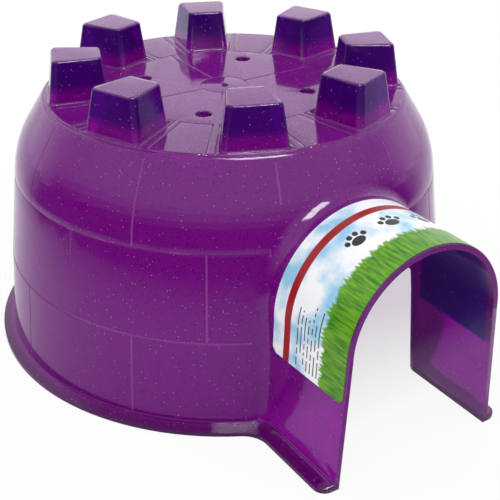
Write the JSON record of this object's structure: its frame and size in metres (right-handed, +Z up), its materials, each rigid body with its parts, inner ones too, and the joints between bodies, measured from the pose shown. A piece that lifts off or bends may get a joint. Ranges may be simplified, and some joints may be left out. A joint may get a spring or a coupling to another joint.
{
  "type": "rodent igloo",
  "caption": "Castle-topped igloo hide for a small pet, one translucent purple plastic moulding with a tunnel doorway and a printed label.",
  "frame": {"origin": "On the floor, under the middle of the part's bounding box.", "axes": "+Z is up. The doorway opens towards -Y and the round body lies towards +Y. +X is to the right of someone who looks into the doorway."},
  "size_m": [0.23, 0.2654, 0.1378],
  "materials": {
    "purple_plastic": "Translucent purple with fine glitter, glossy.",
    "label_print": "Smooth printed label with a pale sky field, a green band and a dark red stripe."
  },
  "bodies": {
    "root": {"igloo_shell": "purple_plastic", "doorway_label": "label_print"}
  },
  "joints": []
}
